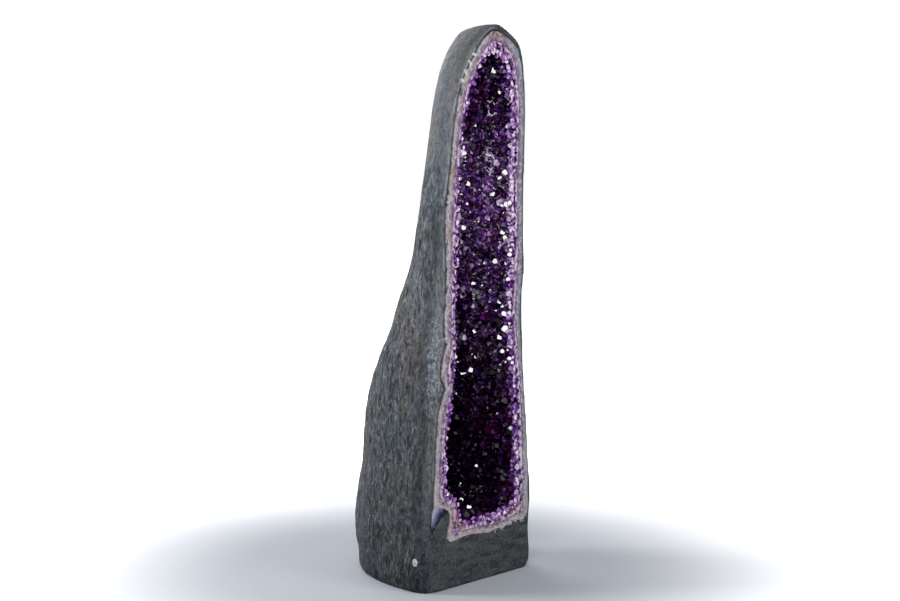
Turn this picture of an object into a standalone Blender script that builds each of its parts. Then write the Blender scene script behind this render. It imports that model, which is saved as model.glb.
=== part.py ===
"""Amethyst cathedral geode: a cut basalt shell lined with agate, a crystal bed and seated crystals.

Standing upright on its flat base, with +Z up and the saw-cut face looking along -Y. The origin is the
centre of the base. Outlines and stations are in millimetres, and all meshes are in metres.
"""

import math
import random

import bmesh
import bpy
import numpy as np
from mathutils import Matrix, Vector
from mathutils.geometry import delaunay_2d_cdt

MM = 0.001

# ---- driving dimensions ------------------------------------------------------------------------
HEIGHT = 1000.0  # base to crown
FACE_Y = -142.5  # the plane of the saw cut
GAP = 0.3  # left between touching bodies
CUT_CLEARANCE = 20.0  # how far a cutter stands in front of the cut face
FOOT_ROWS = (0, 4, 12, 30)
LOFT_ROWS = 28
BACK_STEPS = 26
CORNER_STEPS = 4
FACE_STEPS = 4
OUTLINE_STEP = 30.0  # longest chord along an outline
SHARPEST_MITRE = 0.25
RING_ANGLES = (0.0, 16.0, 32.0, 47.0, 60.0, 71.0, 79.0, 85.0)

# ---- outside of the rock: (height, value) ------------------------------------------------------
LEFT_EDGE = [
    (0, -148), (12, -152.5), (30, -153.5), (60, -153), (100, -150), (130, -147), (170, -142),
    (220, -136), (270, -132), (325, -127.5), (386, -123.5), (445, -118), (500, -111), (550, -108),
    (600, -106), (660, -103), (705, -97), (756, -90), (804, -81), (844, -75), (880, -66.5),
    (915, -52), (946, -32), (974, -6), (990, 15), (1000, 33),
]
RIGHT_EDGE = [
    (0, 147), (12, 151.5), (30, 153.5), (60, 149), (100, 141), (130, 141), (160, 140), (195, 135),
    (266, 129), (335, 122), (382, 118), (453, 115), (475, 114), (521, 115), (550, 119.5),
    (600, 119), (655, 117.5), (720, 118.5), (787, 121), (840, 123), (875, 122), (910, 119),
    (944, 114), (964, 107), (976, 97), (986, 79), (995, 61), (1000, 47),
]
DEPTH = [
    (0, 266), (12, 271), (30, 274), (70, 281), (120, 285), (200, 273), (300, 264), (340, 252),
    (370, 241), (410, 219), (455, 197), (500, 180), (550, 157), (600, 139), (685, 123),
    (760, 115), (840, 111), (900, 109.5), (930, 109), (955, 107), (974, 101), (988, 90),
    (996, 74), (1000, 54),
]
CORNER_RADIUS = [
    (0, 32), (60, 28), (100, 13), (130, 8), (180, 6), (500, 5), (900, 5), (985, 5), (1000, 4),
]
CROWN_DROPS = (85, 65, 50, 38, 28, 20, 13, 7.5, 3.5, 1, 0)  # of the last rows below the crown

# ---- outlines in the cut face: (x, height), clockwise from the crown -----------------------------
ROCK_HOLLOW = [
    (28, 988), (50, 986), (75, 975), (97, 960), (107, 932), (112, 898), (115, 863), (115, 821),
    (113, 774), (110, 739), (110, 669), (110, 638), (112, 591), (110, 568), (110, 544), (106, 509),
    (104, 474), (106, 450), (109.5, 416), (113, 370), (116, 334), (119.5, 298), (123, 266), (127, 217),
    (130, 181), (129, 150), (131, 120), (129, 104), (122, 96), (113, 91), (94, 95), (80, 91),
    (58, 86), (36, 87), (20, 83), (-22, 88), (-51, 88), (-68, 85), (-85, 83), (-94, 91),
    (-91, 106), (-86, 119), (-85.5, 131), (-91, 141), (-103, 147), (-117, 148), (-127, 151),
    (-128, 162), (-124, 216), (-122, 250), (-120, 283), (-113, 324), (-105, 341), (-96, 357),
    (-106, 372), (-110, 385), (-103, 412), (-95, 430), (-99, 445), (-101, 457), (-98, 509),
    (-95, 553), (-96.5, 597), (-97, 660), (-87, 726), (-77, 793), (-68, 845), (-59, 878),
    (-44, 910), (-21, 941), (2, 970),
]
AGATE_HOLLOW = [
    (28, 970), (50, 967), (72, 955), (86, 938), (95, 905), (100, 863), (101, 821), (99, 774),
    (96, 739), (97, 669), (97, 638), (98, 591), (96, 544), (92, 509), (91, 474), (94, 445),
    (99, 410), (104, 370), (107, 330), (110, 280), (113, 217), (115, 181), (114, 150), (113, 125),
    (105, 109), (84, 104), (58, 99), (20, 97), (-22, 100), (-50, 99), (-68, 97), (-78, 102),
    (-79, 118), (-77, 136), (-86, 151), (-103, 160), (-111, 169), (-111, 190), (-108, 240),
    (-104, 283), (-97, 318), (-88, 341), (-83, 357), (-91, 380), (-89, 405), (-80, 431),
    (-82, 457), (-81, 523), (-80, 597), (-78, 642), (-71, 726), (-62, 800), (-54, 845),
    (-42, 878), (-27, 908), (-8, 935), (10, 957),
]
CRYSTAL_HOLLOW = [
    (30, 957), (52, 952), (68, 940), (80, 915), (88, 870), (91, 821), (89, 774), (86, 730),
    (87, 669), (88, 591), (86, 544), (82, 509), (81, 474), (84, 440), (90, 400), (95, 350),
    (98, 300), (101, 240), (104, 190), (104, 150), (101, 128), (88, 117), (60, 109), (20, 107),
    (-22, 109), (-50, 109), (-64, 116), (-68, 134), (-72, 152), (-86, 163), (-99, 172),
    (-103, 190), (-99, 240), (-95, 283), (-89, 320), (-80, 350), (-80, 385), (-74, 412),
    (-69, 436), (-73, 470), (-73, 523), (-73, 597), (-71, 642), (-64, 720), (-55, 800),
    (-46, 850), (-33, 885), (-16, 915), (5, 943),
]
# The floor of each hollow, seen from the front: (height, depth behind the cut face).
HOLLOW_DEPTH = [
    (150, 238), (250, 233), (330, 220), (400, 189), (480, 155), (550, 128), (620, 112), (720, 99),
    (820, 92), (935, 84),
]
SPINE_X = [(150, 0), (500, 4), (800, 20), (935, 31)]
SPINE_LOW, SPINE_HIGH = 155.0, 930.0
AGATE_THICKNESS = 13.0
BED_THICKNESS = 11.0

# ---- small minerals ------------------------------------------------------------------------------
FOLD_OUTLINE = [
    (-134.5, 103), (-134.5, 122), (-132, 140), (-127, 153), (-100, 151), (-86, 143), (-88, 138),
    (-97, 135.5), (-107, 130.5), (-116, 123),
]
FOLD_CENTRE = (-115.0, 140.0)
FOLD_DEPTH = 42.0
FOLD_BACK_SCALE = 0.45
AMYGDALE_CENTRE = (-151.5, -119.5, 55.0)
AMYGDALE_HALF_AXES = (5.0, 5.5, 7.5)

CRYSTAL_COUNT = 24
CRYSTAL_RADIUS = (6.0, 8.5)
CRYSTAL_STAND = (11.0, 17.0)  # length above the bed
CRYSTAL_ROOT = 6.0  # length below the bed before it is seated
CRYSTAL_SPACING = 24.0
TIP_SLOPE = 52.0  # degrees between a tip face and the prism's end plane
CRYSTAL_SEED = 11

BASALT = ("basalt", (0.085, 0.095, 0.100), 0.72)
AGATE = ("agate", (0.62, 0.54, 0.62), 0.35)
DRUSE = ("amethyst_bed", (0.20, 0.10, 0.28), 0.30)
CRYSTAL = ("amethyst", (0.12, 0.03, 0.20), 0.12)
CHALCEDONY = ("blue_chalcedony", (0.20, 0.23, 0.36), 0.30)
QUARTZ = ("quartz", (0.60, 0.60, 0.58), 0.45)


# ---- curves --------------------------------------------------------------------------------------
def smooth_value(stations, at):
    """The value at a height, on a smooth curve through the stations."""
    heights, values = np.array(stations, float).T
    slopes = np.gradient(values, heights)
    at = np.clip(at, heights[0], heights[-1])
    i = np.clip(np.searchsorted(heights, at) - 1, 0, len(heights) - 2)
    span = heights[i + 1] - heights[i]
    t = (at - heights[i]) / span
    start = values[i] * (1 + 2 * t) * (1 - t) ** 2 + slopes[i] * span * t * (1 - t) ** 2
    end = values[i + 1] * t**2 * (3 - 2 * t) - slopes[i + 1] * span * t**2 * (1 - t)
    return start + end


def smooth_loop(outline):
    """A closed outline with its long chords split along a smooth curve."""
    points = np.array(outline, float)
    count = len(points)
    found = []
    for i in range(count):
        before, start, end, after = (points[(i + k) % count] for k in (-1, 0, 1, 2))
        length = np.linalg.norm(end - start)
        leave = (end - before) / (np.linalg.norm(start - before) + length) * length
        arrive = (after - start) / (np.linalg.norm(after - end) + length) * length
        steps = max(1, math.ceil(length / OUTLINE_STEP))
        for t in np.arange(steps) / steps:
            at_start = start * (1 + 2 * t) * (1 - t) ** 2 + leave * t * (1 - t) ** 2
            at_end = end * t**2 * (3 - 2 * t) - arrive * t**2 * (1 - t)
            found.append(at_start + at_end)
    return np.array(found)


def inset_loop(points, distance):
    """A clockwise outline moved inwards by a small distance; a negative distance grows it."""
    along = np.roll(points, -1, axis=0) - points
    along /= np.linalg.norm(along, axis=1, keepdims=True)
    leaving = np.stack([along[:, 1], -along[:, 0]], axis=1)
    arriving = np.roll(leaving, 1, axis=0)
    opening = 1 + (leaving * arriving).sum(axis=1, keepdims=True)
    return points + distance * (leaving + arriving) / np.maximum(opening, SHARPEST_MITRE)


# ---- scene helpers -------------------------------------------------------------------------------
def clear_scene():
    for obj in list(bpy.data.objects):
        bpy.data.objects.remove(obj)


def new_collection(name):
    collection = bpy.data.collections.new(name)
    bpy.context.scene.collection.children.link(collection)
    return collection


def new_material(name, colour, roughness):
    material = bpy.data.materials.new(name)
    material.use_nodes = True
    shader = material.node_tree.nodes["Principled BSDF"]
    shader.inputs["Base Color"].default_value = (*colour, 1.0)
    shader.inputs["Roughness"].default_value = roughness
    shader.inputs["Metallic"].default_value = 0.0
    material.diffuse_color = (*colour, 1.0)
    return material


def new_object(name, shape, collection, material=None):
    """A mesh object made from a bmesh, with its normals pointing out."""
    bmesh.ops.recalc_face_normals(shape, faces=shape.faces)
    mesh = bpy.data.meshes.new(name)
    shape.to_mesh(mesh)
    shape.free()
    if material:
        mesh.materials.append(material)
    obj = bpy.data.objects.new(name, mesh)
    collection.objects.link(obj)
    return obj


def hide_cutter(obj):
    obj.hide_render = True
    obj.display_type = "WIRE"
    return obj


def boolean(obj, name, operation, other):
    modifier = obj.modifiers.new(name, "BOOLEAN")
    modifier.operation = operation
    modifier.solver = "EXACT"
    modifier.object = other


def shade(obj, degrees):
    obj.data.shade_smooth()
    obj.data.set_sharp_from_angle(angle=math.radians(degrees))


# ---- lofts ---------------------------------------------------------------------------------------
def cap(shape, ring, pattern):
    """Fills a ring with the triangles that join nearest points of its flat pattern."""
    flattened = [Vector(point) for point in pattern]
    filled = delaunay_2d_cdt(flattened, [], [list(range(len(ring)))], 1, 1e-5)
    source = [ids[0] for ids in filled[3]]
    for triangle in filled[2]:
        shape.faces.new([ring[source[corner]] for corner in triangle])


def loft(rings, patterns):
    """A closed bmesh through rings of equal length, capped as the first and last patterns say."""
    shape = bmesh.new()
    rows = [[shape.verts.new(Vector(point) * MM) for point in ring] for ring in rings]
    for lower, upper in zip(rows, rows[1:]):
        for i in range(len(lower)):
            j = (i + 1) % len(lower)
            shape.faces.new((lower[i], lower[j], upper[j]))
            shape.faces.new((lower[i], upper[j], upper[i]))
    cap(shape, rows[0], patterns[0])
    cap(shape, rows[-1], patterns[1])
    return shape


def rock_section(height):
    """One level slice of the rock: a flat face, two rounded corners and a half-oval back."""
    left, right = smooth_value(LEFT_EDGE, height), smooth_value(RIGHT_EDGE, height)
    depth, radius = smooth_value(DEPTH, height), smooth_value(CORNER_RADIUS, height)
    middle, half_width = (left + right) / 2, (right - left) / 2
    section = []
    for x in np.linspace(left + radius, right - radius, FACE_STEPS + 1)[:-1]:
        section.append((x, FACE_Y, height))
    for turn in np.linspace(-90, 0, CORNER_STEPS + 1)[:-1]:
        c, s = math.cos(math.radians(turn)), math.sin(math.radians(turn))
        section.append((right - radius * (1 - c), FACE_Y + radius * (1 + s), height))
    for turn in np.linspace(0, 180, BACK_STEPS + 1):
        c, s = math.cos(math.radians(turn)), math.sin(math.radians(turn))
        section.append((middle + half_width * c, FACE_Y + radius + (depth - radius) * s, height))
    for turn in np.linspace(180, 270, CORNER_STEPS + 1)[1:-1]:
        c, s = math.cos(math.radians(turn)), math.sin(math.radians(turn))
        section.append((left + radius * (1 + c), FACE_Y + radius * (1 + s), height))
    return section


def rock_block():
    """The whole rock before it is hollowed."""
    crown_rows = [HEIGHT - drop for drop in CROWN_DROPS]
    body_rows = np.linspace(FOOT_ROWS[-1], crown_rows[0], LOFT_ROWS)[1:-1]
    sections = [rock_section(height) for height in (*FOOT_ROWS, *body_rows, *crown_rows)]
    return loft(sections, [[(x, y) for x, y, _ in sections[end]] for end in (0, -1)])


def hollow_point(edge, depth_loss, angle):
    """A point on a hollow's wall, between its edge in the cut face (angle 0) and its deep spine."""
    level = min(max(edge[1], SPINE_LOW), SPINE_HIGH)
    spine = np.array([smooth_value(SPINE_X, level), level])
    depth = smooth_value(HOLLOW_DEPTH, level) - depth_loss
    x, height = spine + (edge - spine) * math.cos(math.radians(angle))
    return (x, FACE_Y + depth * math.sin(math.radians(angle)), height)


def hollow_cast(outline, depth_loss, shrink=0.0, front=0.0):
    """The cast of a hollow: its outline in the cut face, drawn back to the spine in rings.

    shrink makes it smaller all round, and front carries it forward of the cut face as a cutter.
    Casts of one outline share their caps' pattern, so that a shrunk one never crosses the other.
    """
    drawn = smooth_loop(outline)
    edge = inset_loop(drawn, shrink)
    rings = [[hollow_point(point, depth_loss + shrink, angle) for point in edge] for angle in RING_ANGLES]
    if front:
        rings.insert(0, [(x, FACE_Y - front, height) for x, _, height in rings[0]])
    innermost = [hollow_point(point, depth_loss, RING_ANGLES[-1]) for point in drawn]
    return loft(rings, [drawn, [(x, height) for x, _, height in innermost]])


# ---- pieces --------------------------------------------------------------------------------------
def make_fold_wedge(grow):
    """A wedge of the fold's outline that narrows backwards, before the lining trims it."""
    front = inset_loop(np.array(FOLD_OUTLINE, float), -grow)
    centre = np.array(FOLD_CENTRE)
    rings = [[(x, FACE_Y - CUT_CLEARANCE, z) for x, z in front]] if grow else []
    for share in (0.0, 0.5, 1.0):
        y = FACE_Y + (FOLD_DEPTH + grow) * share
        narrowed = centre + (front - centre) * (1 - (1 - FOLD_BACK_SCALE) * share)
        rings.append([(x, y, z) for x, z in narrowed])
    return loft(rings, [front, front])


def make_amygdale_ball(grow):
    ball = bmesh.new()
    bmesh.ops.create_uvsphere(ball, u_segments=16, v_segments=10, radius=MM)
    size = Matrix.Diagonal([axis + grow for axis in AMYGDALE_HALF_AXES]).to_4x4()
    place = Matrix.Translation(Vector(AMYGDALE_CENTRE) * MM)
    bmesh.ops.transform(ball, matrix=place @ size, verts=ball.verts)
    return ball


def make_crystal(radius, stand, draw):
    """A six-sided prism along +Z whose end is cut by six sloping faces of uneven depth."""
    length = CRYSTAL_ROOT + stand
    shape = bmesh.new()
    bmesh.ops.create_cone(
        shape, cap_ends=True, segments=6, radius1=radius * MM, radius2=radius * MM, depth=length * MM
    )
    bmesh.ops.translate(shape, verts=shape.verts, vec=(0, 0, (length / 2 - CRYSTAL_ROOT) * MM))
    face_normal = Vector((math.sin(math.radians(TIP_SLOPE)), 0, math.cos(math.radians(TIP_SLOPE))))
    for side in range(6):
        normal = Matrix.Rotation(side * math.tau / 6, 3, "Z") @ face_normal
        drop = draw.uniform(0.0, 0.12) if side % 2 else draw.uniform(0.12, 0.30)
        tip = Vector((0, 0, (stand - drop * radius) * MM))
        cut = bmesh.ops.bisect_plane(
            shape,
            geom=[*shape.verts, *shape.edges, *shape.faces],
            plane_co=tip,
            plane_no=normal,
            clear_outer=True,
        )
        rim = [item for item in cut["geom_cut"] if isinstance(item, bmesh.types.BMEdge)]
        if rim:
            bmesh.ops.contextual_create(shape, geom=rim)
    return shape


def crystal_seats(draw):
    """Well-spaced places on the bed, each as a point and the direction out of the bed."""
    edge = smooth_loop(CRYSTAL_HOLLOW)
    loss = AGATE_THICKNESS + BED_THICKNESS
    seats = []
    while len(seats) < CRYSTAL_COUNT:
        k = int((len(seats) + draw.random()) * len(edge) / CRYSTAL_COUNT)
        angle = draw.uniform(18, 78)
        place = Vector(hollow_point(edge[k], loss, angle))
        beside = Vector(hollow_point(edge[(k + 1) % len(edge)], loss, angle)) - place
        deeper = Vector(hollow_point(edge[k], loss, angle + 2)) - place
        outward = deeper.cross(beside).normalized()
        if all((place - other).length > CRYSTAL_SPACING for other, _ in seats):
            seats.append((place, outward))
    return sorted(seats, key=lambda seat: seat[0].z)


def build():
    clear_scene()
    parts = new_collection("amethyst_geode")
    cutters = new_collection("cutters")
    draw = random.Random(CRYSTAL_SEED)
    bed_loss = AGATE_THICKNESS + BED_THICKNESS

    def cutter(name, shape):
        return hide_cutter(new_object(name, shape, cutters))

    rock_cut = cutter("rock_hollow_cutter", hollow_cast(ROCK_HOLLOW, 0, front=CUT_CLEARANCE))
    agate_cut = cutter(
        "agate_hollow_cutter", hollow_cast(AGATE_HOLLOW, AGATE_THICKNESS, front=CUT_CLEARANCE)
    )
    bed_cut = cutter("bed_hollow_cutter", hollow_cast(CRYSTAL_HOLLOW, bed_loss, front=CUT_CLEARANCE))
    lining_space = cutter("lining_space", hollow_cast(ROCK_HOLLOW, 0, -GAP, CUT_CLEARANCE))
    growth_space = cutter("growth_space", hollow_cast(CRYSTAL_HOLLOW, bed_loss, GAP))
    fold_pocket = cutter("fold_pocket_cutter", make_fold_wedge(GAP))
    amygdale_pocket = cutter("amygdale_pocket_cutter", make_amygdale_ball(GAP))
    rock_form = cutter("rock_form", rock_block())

    shell = new_object("basalt_shell", rock_block(), parts, new_material(*BASALT))
    boolean(shell, "hollow", "DIFFERENCE", rock_cut)
    boolean(shell, "fold pocket", "DIFFERENCE", fold_pocket)
    boolean(shell, "amygdale pocket", "DIFFERENCE", amygdale_pocket)
    shade(shell, 40)

    agate = new_object("agate_band", hollow_cast(ROCK_HOLLOW, 0, GAP), parts, new_material(*AGATE))
    boolean(agate, "hollow", "DIFFERENCE", agate_cut)
    shade(agate, 40)

    bed_shape = hollow_cast(AGATE_HOLLOW, AGATE_THICKNESS, GAP)
    bed = new_object("amethyst_druse", bed_shape, parts, new_material(*DRUSE))
    boolean(bed, "hollow", "DIFFERENCE", bed_cut)
    shade(bed, 40)

    fold = new_object("chalcedony_fold", make_fold_wedge(0.0), parts, new_material(*CHALCEDONY))
    boolean(fold, "lining", "DIFFERENCE", lining_space)

    amygdale = new_object("quartz_amygdale", make_amygdale_ball(0.0), parts, new_material(*QUARTZ))
    boolean(amygdale, "outside of the rock", "INTERSECT", rock_form)

    crystal_finish = new_material(*CRYSTAL)
    for number, (place, outward) in enumerate(crystal_seats(draw), start=1):
        form = make_crystal(draw.uniform(*CRYSTAL_RADIUS), draw.uniform(*CRYSTAL_STAND), draw)
        lean = Vector([draw.uniform(-0.25, 0.25) for _ in range(3)])
        facing = (outward + lean).to_track_quat("Z", "Y").to_matrix().to_4x4()
        spin = Matrix.Rotation(draw.uniform(0, math.tau), 4, "Z")
        crystal = new_object(f"amethyst_crystal_{number:02d}", form, parts, crystal_finish)
        crystal.matrix_world = Matrix.Translation(place * MM) @ facing @ spin
        boolean(crystal, "seat on the bed", "INTERSECT", growth_space)


build()
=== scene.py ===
"""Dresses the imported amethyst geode: its rock, agate and crystals, with the floor, light and camera."""

import logging
import math
from dataclasses import dataclass, field
from enum import Enum
from typing import Sequence

import bmesh
import bpy
import numpy as np
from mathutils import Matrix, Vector, noise
from mathutils.bvhtree import BVHTree
from mathutils.kdtree import KDTree


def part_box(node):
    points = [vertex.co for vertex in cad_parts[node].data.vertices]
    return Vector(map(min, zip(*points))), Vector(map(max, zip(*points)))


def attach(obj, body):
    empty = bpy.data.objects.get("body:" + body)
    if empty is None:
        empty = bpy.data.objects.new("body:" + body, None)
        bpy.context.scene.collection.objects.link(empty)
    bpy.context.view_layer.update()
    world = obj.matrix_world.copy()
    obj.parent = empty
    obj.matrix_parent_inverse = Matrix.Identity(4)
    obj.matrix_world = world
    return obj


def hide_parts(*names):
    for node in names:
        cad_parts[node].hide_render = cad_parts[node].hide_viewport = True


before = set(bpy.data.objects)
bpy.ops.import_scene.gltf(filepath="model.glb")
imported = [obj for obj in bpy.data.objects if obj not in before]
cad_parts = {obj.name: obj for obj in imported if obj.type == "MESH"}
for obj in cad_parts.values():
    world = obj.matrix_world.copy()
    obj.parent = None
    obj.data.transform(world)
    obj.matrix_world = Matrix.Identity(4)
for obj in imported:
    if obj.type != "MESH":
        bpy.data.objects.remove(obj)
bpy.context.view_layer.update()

FACE_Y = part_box("basalt_shell")[0].y
MM = 0.001
POINTS = [name for name in sorted(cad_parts) if name.startswith("amethyst_crystal")]

log = logging.getLogger("geode")

Colour = tuple[float, float, float, float]
WHITE: Colour = (1.0, 1.0, 1.0, 1.0)
BLACK: Colour = (0.0, 0.0, 0.0, 1.0)


class Slot(Enum):
    """The record's material slots."""

    BASALT = "basalt"
    AGATE = "agate"
    BED = "amethyst_bed"
    AMETHYST = "amethyst"
    CHALCEDONY = "blue_chalcedony"
    QUARTZ = "quartz"


class Grade(Enum):
    """Crystal sizes, from the first to grow to the last to fill in."""

    RIM = "rim"
    LARGE = "large"
    MEDIUM = "medium"
    SMALL = "small"


def srgb(red: float, green: float, blue: float) -> Colour:
    """Turns a display colour into the linear one that a shader takes.

    Args:
        red: Red, 0 to 255.
        green: Green, 0 to 255.
        blue: Blue, 0 to 255.

    Returns:
        The linear colour, with an alpha of 1.
    """

    def linear(level: float) -> float:
        """Undoes the display curve for one channel."""
        share = level / 255
        return share / 12.92 if share <= 0.04045 else ((share + 0.055) / 1.055) ** 2.4

    return (linear(red), linear(green), linear(blue), 1.0)


def ease(value: np.ndarray, low: float, high: float) -> np.ndarray:
    """Rises smoothly from 0 at low to 1 at high."""
    share = np.clip((value - low) / (high - low), 0, 1)
    return share * share * (3 - 2 * share)


def ease_one(value: float, low: float, high: float) -> float:
    """Rises as ease does, for one number."""
    return float(ease(np.array(value), low, high))


def deselect_all() -> None:
    """Clears the selection, because an operator acts on all that is selected."""
    bpy.ops.object.select_all(action="DESELECT")


def activate(thing: bpy.types.Object) -> None:
    """Makes one object the only selected and the active one."""
    deselect_all()
    thing.select_set(True)
    bpy.context.view_layer.objects.active = thing


def copy_node(node: str, name: str) -> bpy.types.Object:
    """Copies a CAD node, with its loose triangles merged into one skin.

    Args:
        node: The CAD node's name.
        name: The new piece's name.

    Returns:
        The new object, at the origin.
    """
    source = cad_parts[node]
    piece = bpy.data.objects.new(name, source.data.copy())
    piece.data.name = name
    piece.data.materials.clear()
    bpy.context.scene.collection.objects.link(piece)
    activate(piece)
    bpy.ops.object.mode_set(mode="EDIT")
    bpy.ops.mesh.select_all(action="SELECT")
    bpy.ops.mesh.remove_doubles(threshold=0.01 * MM)
    bpy.ops.object.mode_set(mode="OBJECT")
    return piece


def apply_modifier(piece: bpy.types.Object, kind: str, **settings: object) -> None:
    """Adds one modifier with these settings and applies it.

    Args:
        piece: The object to change.
        kind: The modifier's type.
        settings: The modifier's values, by name.
    """
    activate(piece)
    modifier = piece.modifiers.new(kind.title(), kind)
    for key, value in settings.items():
        setattr(modifier, key, value)
    bpy.ops.object.modifier_apply(modifier=modifier.name)


def split_edges(piece: bpy.types.Object, steps: int) -> None:
    """Splits every edge in two, this many times, without changing the shape."""
    apply_modifier(piece, "SUBSURF", subdivision_type="SIMPLE", levels=steps, render_levels=steps)


def new_piece(name: str, points: Sequence[np.ndarray], faces: Sequence[tuple[int, ...]]) -> bpy.types.Object:
    """Makes one piece of many shapes.

    Args:
        name: The piece's name.
        points: Each shape's points.
        faces: The faces of them all, by the points' places in the whole.

    Returns:
        The new object, at the origin.
    """
    mesh = bpy.data.meshes.new(name)
    mesh.from_pydata(np.concatenate(points).tolist(), [], faces)
    piece = bpy.data.objects.new(name, mesh)
    bpy.context.scene.collection.objects.link(piece)
    return piece


def points_of(mesh: bpy.types.Mesh) -> np.ndarray:
    """Returns a mesh's vertices as rows of x, y, z."""
    flat = np.empty(len(mesh.vertices) * 3, np.float32)
    mesh.vertices.foreach_get("co", flat)
    return flat.reshape(-1, 3).astype(float)


def normals_of(mesh: bpy.types.Mesh) -> np.ndarray:
    """Returns a mesh's vertex normals as rows of x, y, z."""
    flat = np.empty(len(mesh.vertices) * 3, np.float32)
    mesh.vertex_normals.foreach_get("vector", flat)
    return flat.reshape(-1, 3).astype(float)


def move_points(mesh: bpy.types.Mesh, points: np.ndarray) -> None:
    """Puts a mesh's vertices at these places."""
    mesh.vertices.foreach_set("co", points.astype(np.float32).ravel())
    mesh.update()


def store(mesh: bpy.types.Mesh, name: str, values: np.ndarray, domain: str = "POINT") -> None:
    """Writes one number for each vertex or face, for a finish to read.

    Args:
        mesh: The mesh.
        name: The attribute's name.
        values: One number for each element.
        domain: POINT for vertices or FACE for faces.
    """
    layer = mesh.attributes.new(name, "FLOAT", domain)
    layer.data.foreach_set("value", np.asarray(values, np.float32))


def skin_tree(piece: bpy.types.Object) -> BVHTree:
    """Returns a search tree of a piece's faces."""
    faces = [tuple(face.vertices) for face in piece.data.polygons]
    return BVHTree.FromPolygons([vertex.co for vertex in piece.data.vertices], faces)


def distances(points: np.ndarray, node: str, reach: float = 30 * MM) -> np.ndarray:
    """Measures how far each point is from a CAD node's skin.

    Args:
        points: Rows of x, y, z.
        node: The CAD node's name.
        reach: The greatest distance that matters.

    Returns:
        One distance for each point, at most reach.
    """
    tree = skin_tree(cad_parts[node])
    found = np.full(len(points), reach)
    for index, point in enumerate(points):
        hit = tree.find_nearest(Vector(point), reach)
        if hit[0] is not None:
            found[index] = hit[3]
    return found


def place(piece: bpy.types.Object, nodes: Sequence[str] = ()) -> None:
    """Rides a piece on the geode's body, hides the CAD nodes that it stands for and names them in the log.

    Args:
        piece: The finished piece.
        nodes: The CAD nodes that it stands for.
    """
    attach(piece, "root")
    if nodes:
        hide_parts(*nodes)
    log.info("%s: %d faces, stands for %s", piece.name, len(piece.data.polygons), list(nodes) or "nothing")


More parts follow.
